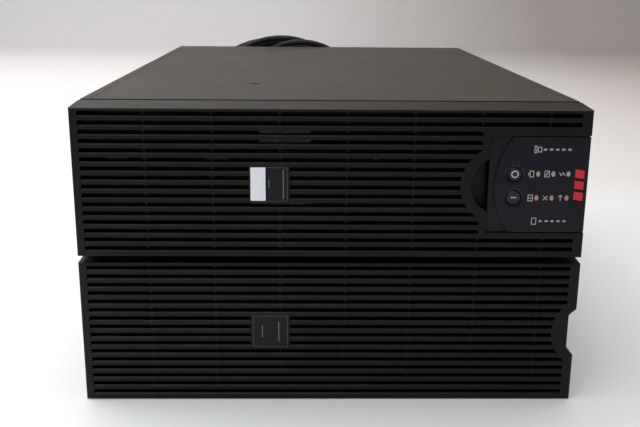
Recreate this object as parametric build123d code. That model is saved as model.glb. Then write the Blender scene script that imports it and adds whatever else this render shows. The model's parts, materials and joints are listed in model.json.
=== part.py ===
from build123d import *
import os
from math import cos, radians, sin, tan

# Double-conversion power supply on top of its matching battery pack, both lying flat.
# Millimetres. X to the right, Y towards the back, Z up; the origin is on the floor below
# the middle of the two cases.

# ---- driving dimensions -------------------------------------------------------------
BEZEL_WIDTH = 432.0
CASE_WIDTH = 430.0
UNIT_HEIGHT = 130.0
PAD_HEIGHT = 3.0
CASE_DEPTH = 660.0          # bezel face to rear panel
REAR_REACH = 12.0           # rear panel to the furthest knob
BEZEL_DEPTH = 36.0
SHEET = 1.5                 # steel of both cases

FRONT = -(CASE_DEPTH + REAR_REACH) / 2
REAR = FRONT + CASE_DEPTH
BACK = REAR + REAR_REACH
SEAM = FRONT + BEZEL_DEPTH
CASE_FRONT = SEAM + SHEET
UPS_BASE = UNIT_HEIGHT + PAD_HEIGHT
HALF = BEZEL_WIDTH / 2
CASE_HALF = CASE_WIDTH / 2
INNER_HALF = CASE_HALF - SHEET

# bezels
BEZEL_BOTTOM = 0.5
BEZEL_FACE_TOP = 127.5
BEZEL_SEAM_TOP = 129.4
BEZEL_WALL = 3.0
GRILLE_DEPTH = 10.0
SLOT_COUNT = 16
SLOT_PITCH = 7.69
SLOT_TOP = 4.3              # centre of the first slot below the bezel's top edge
BAR_FACE = 4.0
BAR_BEVEL = 1.2
GRILLE_LEFT = -209.2
GRILLE_RIGHT = 207.2
RIB_PITCH = 56.3
RIB_FIRST = -156.0
RIB_COUNT = 7
RIB_WIDTH = 2.0
RIB_SETBACK = 4.0
POST_RADIUS = 5.0

# display module and its finger recess, in the upper bezel
DISPLAY_LEFT = 132.5
DISPLAY_BOTTOM = UPS_BASE + 22.8
DISPLAY_SIDE = 83.0
DISPLAY_DEPTH = 27.0
DISPLAY_GAP = 0.4
DISPLAY_WALL = 2.0
DISPLAY_FACE = 3.4
FRAME_BAND = 6.5
EMBLEM_X = 208.4
EMBLEM_Z = 197.5
MOON_X = 142.0
MOON_Z = 197.0
MOON_RADIUS = 24.8
MOON_BAND = 33.7
MOON_DEPTH = 14.0
ARC_X = 205.0
ARC_Z = 196.5
ARC_RADIUS = 68.0
STRIP_SETBACK = 2.4
BUTTON_X = 153.8
OFF_BUTTON_Z = 206.6
ON_BUTTON_Z = 186.6
OFF_BUTTON_RADIUS = 5.6
ON_BUTTON_RADIUS = 6.0
DISH_RADIUS = 8.4
DISH_DEPTH = 1.6
STATUS_X = (173.3, 186.1, 198.8)
STATUS_Z = (207.0, 186.3)
BAR_LAMP_X = 177.9
BAR_LAMP_PITCH = 5.1
BAR_LAMP_Z = (227.8, 166.0)
BAR_LAMP_COUNT = 5

# badges
BADGE_WIDTH = 32.6
BADGE_HEIGHT = 31.4
BADGE_X = -52.0
UPS_BADGE_Z = 196.9
PACK_BADGE_Z = 64.7
BADGE_RECESS = 1.4
BADGE_THICKNESS = 0.9

# grip notch in the right end of the lower bezel
NOTCH_Z = 64.6
NOTCH_OUTER = 22.1
NOTCH_INNER = 16.2
NOTCH_DEPTH = 5.6
NOTCH_MOON_X = 229.0
NOTCH_BAND = 34.0
NOTCH_DISH = 25.2
NOTCH_DISH_DEPTH = 3.0

# lids
FLANGE = 8.0                # fold of the case sides that shows beside the lid
LEDGE = 8.0
LEDGE_DROP = 3.0
LID_GAP = 0.5
DIMPLE_RADIUS = 9.5
DIMPLE_DEPTH = 1.2
DIMPLE_X = -72.0
DIMPLE_Y = (FRONT + 162.0, FRONT + 573.0)
LID_SCREW_RADIUS = 4.0

# batteries: sealed blocks in sheet trays
BLOCK_HEIGHT = 98.0
BLOCK_GAP = 0.5
TRAY_SHEET = 1.0
TRAY_LIFT = 0.5
TRAY_SIDE = 26.0
TRAY_FRONT = 104.0
UPS_TRAY_X = (-210.5, -63.0)
UPS_BLOCK = (70.0, 90.0)
UPS_BLOCKS = (2, 4)
PACK_TRAY_X = (-192.0, 6.0)
PACK_BLOCK = (90.0, 70.0)
PACK_BLOCKS = (2, 8)
TRAY_START = SEAM + 8.0
PARTITION_X = 86.0
UPS_DOOR_RIGHT = 106.0
DOOR_EDGE = 213.0

# side holes for rack brackets
BRACKET_HOLE_RADIUS = 2.2
BRACKET_Y = FRONT + 92.0
BRACKET_Z = 65.0
BRACKET_SPACING = 60.0

# windows in the sheet between the lower unit's two battery modules
DIVIDER_WINDOWS = 5
DIVIDER_PITCH = 112.0

# rear of the power supply, Z from the floor
FAN_X = (-162.0, -62.0)
FAN_Z = 196.0
FAN_SIDE = 92.0
FAN_DEPTH = 25.0
FAN_BORE = 44.0
FAN_TIP = 42.0
FAN_HUB = 19.0
FAN_BLADES = 7
FAN_SCREW = 41.2
SHAFT_RADIUS = 2.0
SHAFT_CLEARANCE = 0.05
OUTLET_X = (2.0, 36.0)
OUTLET_Z = (150.0, 178.0, 206.0, 234.0)
LARGE_OUTLET_X = 72.0
LARGE_OUTLET_Z = (172.0, 216.0)
CARD_X = 151.0
CARD_Z = 239.0
CARD_WIDTH = 112.0
CARD_HEIGHT = 34.0
CARD_REACH = 120.0
INLET_X = 165.0
INLET_Z = 188.0
BREAKER_X = 108.0
BREAKER_Z = (202.0, 176.0)
BREAKER_BUTTON_RADIUS = 3.5
SERIAL_X = 116.0
EMERGENCY_X = 150.0
SOCKET_X = 186.0
LOW_ROW_Z = 150.0

# rear of the battery pack
PACK_SOCKET_X = (128.0, 186.0)
PACK_SOCKET_Z = 44.0
TOGGLE_X = 64.0
TOGGLE_Z = 72.0
TOGGLE_AXIS_Y = REAR - 6.0
TOGGLE_REST = 20.0          # degrees above level

# mains cord
CORD_DIAMETER = 10.0
CONNECTOR_END = REAR + 28.0
RELIEF_END = REAR + 50.0
LEAN = 13.0                 # degrees, the coil against the upper rear edge
COIL_X = -60.0
COIL_THICKNESS = 32.0
COIL_HALF_WIDTH = 129.0
COIL_HALF_HEIGHT = 141.0
COIL_HOLE_HALF_WIDTH = 68.0
COIL_HOLE_HALF_HEIGHT = 108.0
COIL_FRONT_Y = REAR + 61.2  # where its front face meets the floor
FOOT_RIGHT = 62.0
FOOT_LEFT = 52.0
LEAD_Y = COIL_FRONT_Y + 25.6
TAIL_Y = COIL_FRONT_Y + 6.4
LEAD_ROUTE = (
    (INLET_X, RELIEF_END, INLET_Z),
    (INLET_X, RELIEF_END + 32, INLET_Z),
    (INLET_X, RELIEF_END + 60, INLET_Z - 16),
    (INLET_X - 1, RELIEF_END + 75, INLET_Z - 45),
    (INLET_X - 4, RELIEF_END + 77, INLET_Z - 84),
    (INLET_X - 14, RELIEF_END + 73, INLET_Z - 122),
    (INLET_X - 38, RELIEF_END + 65, INLET_Z - 154),
    (INLET_X - 72, RELIEF_END + 57, INLET_Z - 176),
    (INLET_X - 106, LEAD_Y + 10, CORD_DIAMETER / 2),
    (INLET_X - 134, LEAD_Y, CORD_DIAMETER / 2),
    (COIL_X + FOOT_RIGHT, LEAD_Y, CORD_DIAMETER / 2),
)
TAIL_ROUTE = (
    (COIL_X - FOOT_LEFT, TAIL_Y, CORD_DIAMETER / 2),
    (COIL_X - FOOT_LEFT - 22, TAIL_Y, CORD_DIAMETER / 2),
    (COIL_X - FOOT_LEFT - 42, TAIL_Y + 5, CORD_DIAMETER / 2 + 2),
)


# ---- small helpers ------------------------------------------------------------------
def block(x0, x1, y0, y1, z0, z1):
    """A box between two corners."""
    size = (x1 - x0, y1 - y0, z1 - z0)
    centre = ((x0 + x1) / 2, (y0 + y1) / 2, (z0 + z1) / 2)
    return Pos(*centre) * Box(*size)


def plate(x, z, width, height, y0, y1, corner=0.0):
    """A panel piece centred on X and Z, with rounded corners if wanted."""
    outline = RectangleRounded(width, height, corner) if corner else Rectangle(width, height)
    return Pos(x, y0, z) * extrude(Plane.XZ * outline, amount=-(y1 - y0))


def rod(x, z, radius, y0, y1):
    """A cylinder along Y."""
    return Pos(x, y0, z) * extrude(Plane.XZ * Circle(radius), amount=-(y1 - y0))


def rod_x(y, z, radius, x0, x1):
    """A cylinder along X."""
    return Pos(x0, y, z) * extrude(Plane.YZ * Circle(radius), amount=x1 - x0)


def oval(x, z, width, height, y0, y1):
    """An oval peg along Y."""
    return Pos(x, y0, z) * extrude(Plane.XZ * Ellipse(width / 2, height / 2), amount=-(y1 - y0))


def along_x(points, x0, x1):
    """A prism along X from an outline of (Y, Z) points."""
    outline = make_face(Polyline(*[(0, y, z) for y, z in points], close=True))
    return Pos(x0, 0, 0) * extrude(outline, amount=x1 - x0, dir=(1, 0, 0))


def save(shape, node):
    export_step(shape, f"parts/{node}.step")


def group(pieces):
    """Separate solids kept together in one node."""
    solids = []
    for piece in pieces:
        solids.extend(piece.solids())
    return Compound(children=solids)


# ---- bezels ---------------------------------------------------------------------------
def bezel_shell(base):
    """Hollow front cap with a thick grille wall, open at the back."""
    outer = along_x(
        [
            (FRONT, base + BEZEL_BOTTOM),
            (FRONT, base + BEZEL_FACE_TOP),
            (SEAM, base + BEZEL_SEAM_TOP),
            (SEAM, base + BEZEL_BOTTOM),
        ],
        -HALF,
        HALF,
    )
    front_edges = outer.edges().filter_by(lambda e: e.center().Y < FRONT + 0.01)
    outer = fillet(front_edges, 1.2)
    hollow = along_x(
        [
            (FRONT + GRILLE_DEPTH, base + BEZEL_BOTTOM + BEZEL_WALL),
            (FRONT + GRILLE_DEPTH, base + BEZEL_FACE_TOP - BEZEL_WALL),
            (SEAM + 1, base + BEZEL_SEAM_TOP - BEZEL_WALL),
            (SEAM + 1, base + BEZEL_BOTTOM + BEZEL_WALL),
        ],
        -HALF + BEZEL_WALL,
        HALF - BEZEL_WALL,
    )
    return outer - hollow


def slot_cutter(base):
    """The slots between the bars, stopped by upright ribs behind the faces.

    Each slot also takes the bevel off the upper front edge of the bar below it.
    """
    gap = SLOT_PITCH - BAR_FACE
    slots = []
    for row in range(SLOT_COUNT):
        top = base + BEZEL_FACE_TOP - SLOT_TOP + gap / 2 - row * SLOT_PITCH
        low = top - gap
        back = FRONT + GRILLE_DEPTH + 1
        profile = [
            (FRONT - 1, top),
            (back, top),
            (back, low),
            (FRONT + BAR_BEVEL, low),
            (FRONT, low - BAR_BEVEL),
            (FRONT - 1, low - BAR_BEVEL),
        ]
        slots.append(along_x(profile, GRILLE_LEFT, GRILLE_RIGHT))
    ribs = []
    for index in range(RIB_COUNT):
        x = RIB_FIRST + index * RIB_PITCH
        ribs.append(
            block(
                x - RIB_WIDTH / 2,
                x + RIB_WIDTH / 2,
                FRONT + RIB_SETBACK,
                FRONT + GRILLE_DEPTH + 2,
                base,
                base + UNIT_HEIGHT,
            )
        )
    return Compound(children=slots) - ribs


def corner_posts(base):
    """Snap posts at the four corners inside a bezel."""
    posts = []
    for x in (-HALF + 14, HALF - 14):
        for z in (base + 14, base + 114):
            posts.append(rod(x, z, POST_RADIUS, FRONT + GRILLE_DEPTH - 1, SEAM))
    return posts


def badge_pad(z, margin, depth):
    return plate(
        BADGE_X, z, BADGE_WIDTH + margin, BADGE_HEIGHT + margin, FRONT - 1, FRONT + depth, 2.4
    )


def ups_bezel():
    shell = bezel_shell(UPS_BASE)
    pocket_low = DISPLAY_BOTTOM - DISPLAY_GAP
    pocket_high = DISPLAY_BOTTOM + DISPLAY_SIDE + DISPLAY_GAP
    pocket_left = DISPLAY_LEFT - DISPLAY_GAP
    keep_plain = [
        block(
            pocket_left - FRAME_BAND,
            HALF,
            FRONT - 2,
            FRONT + 40,
            pocket_low - 4.5,
            pocket_high + FRAME_BAND - 0.6,
        ),
        rod(MOON_X, MOON_Z, MOON_BAND, FRONT - 2, FRONT + 40),
        badge_pad(UPS_BADGE_Z, 1.6, GRILLE_DEPTH + 2),
    ]
    bezel = shell - (slot_cutter(UPS_BASE) - keep_plain)
    pocket_back = FRONT + DISPLAY_DEPTH + 1
    walls = block(
        pocket_left - 2, HALF, FRONT + 2, pocket_back + 1.5, pocket_low - 2, pocket_high + 2
    )
    cup = rod(MOON_X, MOON_Z, MOON_RADIUS + 2, FRONT + 2, FRONT + MOON_DEPTH + 2)
    bezel = bezel + walls + cup + corner_posts(UPS_BASE)
    bezel -= block(pocket_left, HALF + 1, FRONT - 1, pocket_back, pocket_low, pocket_high)
    bezel -= rod(MOON_X, MOON_Z, MOON_RADIUS, FRONT - 1, FRONT + MOON_DEPTH)
    cable_hole = block(160, 190, FRONT, SEAM, 190, 204)
    bezel -= cable_hole
    return bezel - badge_pad(UPS_BADGE_Z, 0.2, BADGE_RECESS)


def grip_notch(depth, z_outer, z_inner):
    """Outline of the notch in the lower bezel's right end, as a cutter through Y."""
    points = [
        (HALF + 1, NOTCH_Z - z_outer - 1),
        (HALF - depth, NOTCH_Z - z_inner),
        (HALF - depth, NOTCH_Z + z_inner),
        (HALF + 1, NOTCH_Z + z_outer + 1),
    ]
    outline = make_face(Polyline(*[(x, FRONT - 1, z) for x, z in points], close=True))
    return extrude(outline, amount=BEZEL_DEPTH + 2, dir=(0, 1, 0))


def pack_bezel():
    shell = bezel_shell(0)
    keep_plain = [
        rod(NOTCH_MOON_X, NOTCH_Z, NOTCH_BAND, FRONT - 2, FRONT + 40),
        badge_pad(PACK_BADGE_Z, 1.6, GRILLE_DEPTH + 2),
    ]
    bezel = shell - (slot_cutter(0) - keep_plain)
    notch_wall = block(
        HALF - NOTCH_DEPTH - 2.5, HALF, FRONT + 2, SEAM, NOTCH_Z - 26, NOTCH_Z + 26
    )
    bezel = bezel + notch_wall + corner_posts(0)
    bezel -= grip_notch(NOTCH_DEPTH, NOTCH_OUTER, NOTCH_INNER)
    bezel -= rod(NOTCH_MOON_X, NOTCH_Z, NOTCH_DISH, FRONT - 1, FRONT + NOTCH_DISH_DEPTH)
    return bezel - badge_pad(PACK_BADGE_Z, 0.2, BADGE_RECESS)


def badge(z):
    y0 = FRONT + BADGE_RECESS - BADGE_THICKNESS
    return plate(BADGE_X, z, BADGE_WIDTH, BADGE_HEIGHT, y0, FRONT + BADGE_RECESS, 2.2)


def badge_sticker():
    y1 = FRONT + BADGE_RECESS - BADGE_THICKNESS
    return plate(BADGE_X - 9.6, UPS_BADGE_Z + 0.3, 12.6, 28.6, y1 - 0.2, y1, 0.4)


# ---- display ----------------------------------------------------------------------------
def lamp_places():
    status = []
    for z in STATUS_Z:
        for x in STATUS_X:
            status.append((x, z))
    bars = []
    for z in BAR_LAMP_Z:
        for index in range(BAR_LAMP_COUNT):
            bars.append((BAR_LAMP_X + index * BAR_LAMP_PITCH, z))
    return status, bars


def display_housing():
    left = DISPLAY_LEFT
    low = DISPLAY_BOTTOM
    high = low + DISPLAY_SIDE
    right = HALF - 0.4
    body = block(left, right, FRONT, FRONT + DISPLAY_DEPTH, low, high)
    body = fillet(body.edges().filter_by(Axis.Y), 1.5)
    raised = rod(ARC_X, ARC_Z, ARC_RADIUS, FRONT - 1, FRONT + STRIP_SETBACK)
    strip = block(left - 1, ARC_X, FRONT - 1, FRONT + STRIP_SETBACK, low - 1, high + 1)
    body -= strip - raised
    rim = [e for e in body.edges() if abs(e.center().Y - FRONT) < 0.01]
    body = chamfer(rim, 0.8)
    body -= block(
        left + DISPLAY_WALL,
        right - DISPLAY_WALL,
        FRONT + STRIP_SETBACK + DISPLAY_FACE,
        FRONT + DISPLAY_DEPTH + 1,
        low + DISPLAY_WALL,
        high - DISPLAY_WALL,
    )
    wells = ((OFF_BUTTON_Z, OFF_BUTTON_RADIUS), (ON_BUTTON_Z, ON_BUTTON_RADIUS))
    for z, radius in wells:
        ball = (DISH_RADIUS**2 + DISH_DEPTH**2) / (2 * DISH_DEPTH)
        body -= Pos(BUTTON_X, FRONT + DISH_DEPTH - ball, z) * Sphere(ball)
        body -= rod(BUTTON_X, z, radius + 0.4, FRONT - 1, FRONT + 10)
    status, bars = lamp_places()
    for x, z in status:
        body -= oval(x, z, 3.7, 5.2, FRONT - 1, FRONT + 10)
    for x, z in bars:
        body -= oval(x, z, 3.7, 2.2, FRONT - 1, FRONT + 10)
    return body - plate(EMBLEM_X, EMBLEM_Z, 8.0, 29.0, FRONT - 1, FRONT + 0.6, 1.5)


def push_button(z, radius):
    """Cap with a collar behind the display face, so that it can't fall out."""
    back = FRONT + STRIP_SETBACK + DISPLAY_FACE + 2.0
    cap = rod(BUTTON_X, z, radius, FRONT + 0.3, back)
    cap = chamfer(cap.edges().sort_by(Axis.Y)[0], 0.5)
    return cap + rod(BUTTON_X, z, radius + 1.4, back, back + 1.0)


def display_board():
    y0 = FRONT + STRIP_SETBACK + DISPLAY_FACE + 5.4
    board = block(DISPLAY_LEFT + 4, HALF - 4, y0, y0 + 1.6, DISPLAY_BOTTOM + 4, 234.8)
    header = block(165, 185, y0 + 1.6, y0 + 9.6, 192, 202)
    return board + header


def lamp_group(places, width, height):
    y1 = FRONT + STRIP_SETBACK + DISPLAY_FACE + 5.4
    return group([oval(x, z, width, height, FRONT + 0.3, y1) for x, z in places])


def emblem_inlay():
    """A plain upright bar set into the display's right edge."""
    return plate(EMBLEM_X, EMBLEM_Z, 7.8, 28.8, FRONT + 0.1, FRONT + 0.6, 1.4)


# ---- cases ------------------------------------------------------------------------------
def folded_side(base, sign):
    """One side of a case: wall, top flange and the ledge that carries the lid."""
    top = base + UNIT_HEIGHT
    wall = block(INNER_HALF, CASE_HALF, CASE_FRONT, REAR, base, top)
    flange_in = CASE_HALF - FLANGE
    flange = block(flange_in, CASE_HALF, CASE_FRONT, REAR, top - SHEET, top)
    step = block(flange_in, flange_in + SHEET, CASE_FRONT, REAR, top - SHEET - LEDGE_DROP, top)
    ledge_top = top - LEDGE_DROP
    ledge = block(
        flange_in - LEDGE, flange_in + SHEET, CASE_FRONT, REAR, ledge_top - SHEET, ledge_top
    )
    side = wall + flange + step + ledge
    holes = []
    for dy in (-BRACKET_SPACING / 2, BRACKET_SPACING / 2):
        for dz in (-BRACKET_SPACING / 2, BRACKET_SPACING / 2):
            holes.append(
                rod_x(
                    BRACKET_Y + dy,
                    base + BRACKET_Z + dz,
                    BRACKET_HOLE_RADIUS,
                    INNER_HALF - 1,
                    CASE_HALF + 1,
                )
            )
    side -= holes
    return side if sign > 0 else mirror(side, Plane.YZ)


def guide_rail(base, x):
    return block(x, x + SHEET, CASE_FRONT + 2, REAR - 300, base + SHEET, base + 14)


def case_tray(base):
    floor = block(-CASE_HALF, CASE_HALF, CASE_FRONT, REAR, base, base + SHEET)
    return floor + folded_side(base, 1) + folded_side(base, -1)


def ups_chassis():
    base = UPS_BASE
    case = case_tray(base)
    bay_top = base + UNIT_HEIGHT - LEDGE_DROP - SHEET
    front_wall = block(
        PARTITION_X, INNER_HALF, CASE_FRONT, CASE_FRONT + SHEET, base + SHEET, bay_top
    )
    bay_end = TRAY_START + UPS_BLOCKS[1] * (UPS_BLOCK[1] + BLOCK_GAP) + 10
    partition = block(
        PARTITION_X, PARTITION_X + SHEET, CASE_FRONT, bay_end, base + SHEET, bay_top
    )
    bay_back = block(
        -INNER_HALF, PARTITION_X + SHEET, bay_end, bay_end + SHEET, base + SHEET, bay_top
    )
    case = case + front_wall + partition + bay_back
    for z in (base + 30, base + 98):
        case -= rod(UPS_DOOR_RIGHT - 9, z, 2.6, CASE_FRONT - 1, CASE_FRONT + SHEET + 1)
    case -= block(160, 190, CASE_FRONT - 1, CASE_FRONT + SHEET + 1, 190, 204)
    return case


def pack_chassis():
    bay_top = UNIT_HEIGHT - LEDGE_DROP - SHEET
    case = case_tray(0)
    bay_end = TRAY_START + PACK_BLOCKS[1] * (PACK_BLOCK[1] + BLOCK_GAP) + 10
    divider = block(-SHEET / 2, SHEET / 2, CASE_FRONT, bay_end, SHEET, bay_top)
    for index in range(DIVIDER_WINDOWS):
        y = BRACKET_Y + index * DIVIDER_PITCH
        divider -= block(-SHEET, SHEET, y - 40, y + 40, BRACKET_Z - 40, BRACKET_Z + 40)
    flange = block(-5, 5, CASE_FRONT, CASE_FRONT + SHEET, SHEET, bay_top)
    case = case + divider + flange
    for x in (PACK_TRAY_X[0] - 2.5, -PACK_TRAY_X[0] + 1.0):
        case += guide_rail(0, x)
    for z in (24.0, 106.0):
        case -= rod(0, z, 2.6, CASE_FRONT - 1, CASE_FRONT + SHEET + 8)
    return case


def lid(base, dimple_places):
    """Flush lid between the flanges, with a dimple round each screw."""
    half = CASE_HALF - FLANGE - LID_GAP
    top = base + UNIT_HEIGHT
    front = CASE_FRONT + 0.6
    rear = REAR - 0.5
    sheet = block(-half, half, front, rear, top - SHEET, top)
    for sign in (-1, 1):
        lip_out = sign * half
        lip_in = sign * (half - SHEET)
        sheet += block(
            min(lip_out, lip_in), max(lip_out, lip_in), front, rear, top - LEDGE_DROP, top
        )
    for x, y in dimple_places:
        cup = Pos(x, y, top - SHEET - DIMPLE_DEPTH / 2 - 0.4) * Cylinder(
            DIMPLE_RADIUS + 1.2, DIMPLE_DEPTH + SHEET - 0.6
        )
        dish = Pos(x, y, top - DIMPLE_DEPTH) * Cone(
            LID_SCREW_RADIUS + 1.5,
            DIMPLE_RADIUS,
            DIMPLE_DEPTH,
            align=(Align.CENTER, Align.CENTER, Align.MIN),
        )
        sheet = sheet + cup - dish
        sheet -= Pos(x, y, top - 4) * Cylinder(1.8, 12)
    return sheet


def lid_places():
    return [(DIMPLE_X, y) for y in DIMPLE_Y]


def case_screw(x, y, top):
    """Countersunk lid screw with a cross recess."""
    height = 1.1
    head_base = top - DIMPLE_DEPTH
    head = Pos(x, y, head_base) * Cylinder(
        LID_SCREW_RADIUS, height, align=(Align.CENTER,) * 2 + (Align.MIN,)
    )
    shank = Pos(x, y, head_base) * Cylinder(
        1.5, 6, align=(Align.CENTER,) * 2 + (Align.MAX,)
    )
    cross = Box(4.2, 0.9, 1.6) + Box(0.9, 4.2, 1.6)
    return head + shank - Pos(x, y, head_base + height) * cross


def rear_screw_places(base):
    places = []
    for x in (-205.0, -112.0, -20.0, 92.0, 140.0):
        places.append((x, base + 5.0))
    for x in (-190.0, -40.0, 60.0):
        places.append((x, base + 121.0))
    return places


def rear_screw(x, z):
    head = rod(x, z, 2.9, REAR, REAR + 1.8)
    head = fillet(head.edges().sort_by(Axis.Y)[-1], 0.8)
    cross = plate(x, z, 3.4, 0.8, REAR + 0.8, REAR + 3) + plate(
        x, z, 0.8, 3.4, REAR + 0.8, REAR + 3
    )
    return head + rod(x, z, 1.4, REAR - 4, REAR) - cross


def case_screws():
    screws = []
    for base in (0.0, UPS_BASE):
        for x, y in lid_places():
            screws.append(case_screw(x, y, base + UNIT_HEIGHT))
        for x, z in rear_screw_places(base):
            screws.append(rear_screw(x, z))
    return group(screws)


def rear_plate(base):
    """Bare rear panel with turned edges, before its cut-outs."""
    half = INNER_HALF - 0.3
    low = base + SHEET
    high = base + UNIT_HEIGHT - LEDGE_DROP - SHEET
    sheet = block(-half, half, REAR - SHEET, REAR, low, high)
    top_half = CASE_HALF - FLANGE - LEDGE - 0.3
    sheet += block(-top_half, top_half, REAR - SHEET, REAR, high, base + UNIT_HEIGHT - SHEET)
    for x, z in rear_screw_places(base):
        sheet -= rod(x, z, 1.6, REAR - 4, REAR + 1)
    return sheet


def fan_slots(x, z):
    """Finger guard pressed in the sheet: arcs with four spokes left between them."""
    rings = []
    for radius in (12.0, 18.0, 24.0, 30.0, 36.0, 42.0):
        ring = rod(x, z, radius + 1.6, REAR - 3, REAR + 1)
        rings.append(ring - rod(x, z, radius - 1.6, REAR - 4, REAR + 2))
    spokes = []
    for angle in (45, 135):
        bar = Rot(0, angle, 0) * Box(100, 8, 3.6)
        spokes.append(Pos(x, REAR, z) * bar)
    return Compound(children=rings) - spokes


def ups_rear_panel():
    panel = rear_plate(UPS_BASE)
    y0 = REAR - 4
    y1 = REAR + 1
    for x in FAN_X:
        panel -= fan_slots(x, FAN_Z)
        for dx in (-FAN_SCREW, FAN_SCREW):
            for dz in (-FAN_SCREW, FAN_SCREW):
                panel -= rod(x + dx, FAN_Z + dz, 2.1, y0, y1)
    for x in OUTLET_X:
        for z in OUTLET_Z:
            panel -= plate(x, z, 26.6, 20.6, y0, y1)
    for z in LARGE_OUTLET_Z:
        panel -= plate(LARGE_OUTLET_X, z, 26.6, 36.6, y0, y1)
    panel -= plate(CARD_X, CARD_Z, 97, 26, y0, y1)
    for dx in (-52.5, 52.5):
        panel -= rod(CARD_X + dx, CARD_Z, 2.5, y0, y1)
    panel -= plate(INLET_X, INLET_Z, 34.6, 26.6, y0, y1)
    for z in BREAKER_Z:
        panel -= rod(BREAKER_X, z, 6.2, y0, y1)
    panel -= plate(SERIAL_X, LOW_ROW_Z, 19.6, 11.6, y0, y1)
    panel -= plate(EMERGENCY_X, LOW_ROW_Z, 20.6, 9.6, y0, y1)
    return panel - plate(SOCKET_X, LOW_ROW_Z, 44.6, 22.6, y0, y1)


def pack_rear_panel():
    panel = rear_plate(0)
    for x in PACK_SOCKET_X:
        panel -= plate(x, PACK_SOCKET_Z, 44.6, 22.6, REAR - 4, REAR + 1)
    panel -= plate(TOGGLE_X, TOGGLE_Z, 26.6, 60.6, REAR - 4, REAR + 1)
    for row in range(3):
        for column in range(16):
            x = -180.0 + column * 12.0
            panel -= plate(x, 42.0 + row * 22.0, 3.4, 16.0, REAR - 4, REAR + 1, 1.6)
    return panel


def stacking_pads():
    pads = []
    for x in (-180.0, 180.0):
        for y in (SEAM + 40, REAR - 50):
            pads.append(Pos(x, y, UNIT_HEIGHT + PAD_HEIGHT / 2) * Cylinder(10, PAD_HEIGHT))
    return group(pads)


# ---- doors and batteries -------------------------------------------------------------
def battery_door(base, x0, x1, screws):
    door = block(x0, x1, SEAM, CASE_FRONT, base + 4, base + 125.5)
    door = fillet(door.edges().filter_by(Axis.Y), 3.0)
    for x, z in screws:
        door -= rod(x, z, 2.5, SEAM - 1, CASE_FRONT + 1)
    for row in range(4):
        z = base + 24 + row * 27
        x = x0 + 16
        while x < x1 - 40:
            door -= plate(x + 10, z, 20, 3, SEAM - 1, CASE_FRONT + 1, 1.4)
            x += 44
    return door


def ups_door_screw_places():
    x = UPS_DOOR_RIGHT - 9
    return [(x, UPS_BASE + 30), (x, UPS_BASE + 98)]


def pack_door_screw_places():
    return [(0.0, 24.0), (0.0, 106.0)]


def thumbscrew(x, z):
    """Captive screw with a knurled head."""
    head = rod(x, z, 6.0, SEAM - 7, SEAM)
    grooves = []
    for index in range(16):
        angle = radians(index * 22.5)
        grooves.append(
            rod(x + 6.1 * cos(angle), z + 6.1 * sin(angle), 0.5, SEAM - 8, SEAM - 1)
        )
    return head - grooves + rod(x, z, 2.0, SEAM, SEAM + 6)


def battery_tray(base, x0, block_size, counts):
    width = counts[0] * (block_size[0] + BLOCK_GAP) + BLOCK_GAP + 2 * TRAY_SHEET
    depth = counts[1] * (block_size[1] + BLOCK_GAP) + BLOCK_GAP + 2 * TRAY_SHEET
    low = base + SHEET + TRAY_LIFT
    x1 = x0 + width
    y0 = TRAY_START
    y1 = y0 + depth
    tray = block(x0, x1, y0, y1, low, low + TRAY_SHEET)
    tray += block(x0, x0 + TRAY_SHEET, y0, y1, low, low + TRAY_SIDE)
    tray += block(x1 - TRAY_SHEET, x1, y0, y1, low, low + TRAY_SIDE)
    tray += block(x0, x1, y1 - TRAY_SHEET, y1, low, low + TRAY_SIDE)
    front = block(x0, x1, y0, y0 + TRAY_SHEET, low, low + TRAY_FRONT)
    front -= plate((x0 + x1) / 2, low + 78, 60, 14, y0 - 1, y0 + 2, 6)
    return tray + front


def battery_blocks(base, x0, block_size, counts):
    low = base + SHEET + TRAY_LIFT + TRAY_SHEET
    pieces = []
    for column in range(counts[0]):
        for row in range(counts[1]):
            x = x0 + TRAY_SHEET + BLOCK_GAP + column * (block_size[0] + BLOCK_GAP)
            y = TRAY_START + TRAY_SHEET + BLOCK_GAP + row * (block_size[1] + BLOCK_GAP)
            case = block(x, x + block_size[0], y, y + block_size[1], low, low + BLOCK_HEIGHT)
            case = chamfer(case.edges().group_by(Axis.Z)[-1], 1.5)
            for dx in (12.0, block_size[0] - 12.0):
                case += block(
                    x + dx - 3,
                    x + dx + 3,
                    y + 8,
                    y + 9,
                    low + BLOCK_HEIGHT,
                    low + BLOCK_HEIGHT + 6,
                )
            pieces.append(case)
    return group(pieces)


# ---- electronics ----------------------------------------------------------------------
BOARD_LEFT = -206.0
BOARD_RIGHT = 60.0
BOARD_FRONT = 98.0
BOARD_BACK = 288.0
BOARD_TOP = UPS_BASE + 14.0


def power_board():
    board = block(BOARD_LEFT, BOARD_RIGHT, BOARD_FRONT, BOARD_BACK, BOARD_TOP - 2, BOARD_TOP)
    for x in (BOARD_LEFT + 8, BOARD_RIGHT - 8):
        for y in (BOARD_FRONT + 8, BOARD_BACK - 8):
            board += Pos(x, y, UPS_BASE + SHEET + (BOARD_TOP - 2 - UPS_BASE - SHEET) / 2) * Cylinder(
                3, BOARD_TOP - 2 - UPS_BASE - SHEET
            )
    return board


def heat_sinks():
    sinks = []
    for x in (-190.0, -110.0, -30.0):
        foot = block(x, x + 60, 110, 116, BOARD_TOP, BOARD_TOP + 80)
        for fin in range(9):
            fx = x + 1 + fin * 7
            foot += block(fx, fx + 2, 116, 150, BOARD_TOP, BOARD_TOP + 80)
        sinks.append(foot)
    return group(sinks)


def capacitors():
    cans = []
    for column in range(6):
        for row in range(2):
            x = -188.0 + column * 36
            y = 178.0 + row * 36
            can = Pos(x, y, BOARD_TOP + 25) * Cylinder(15, 50)
            cans.append(fillet(can.edges().group_by(Axis.Z)[-1], 2))
    return group(cans)


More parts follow.
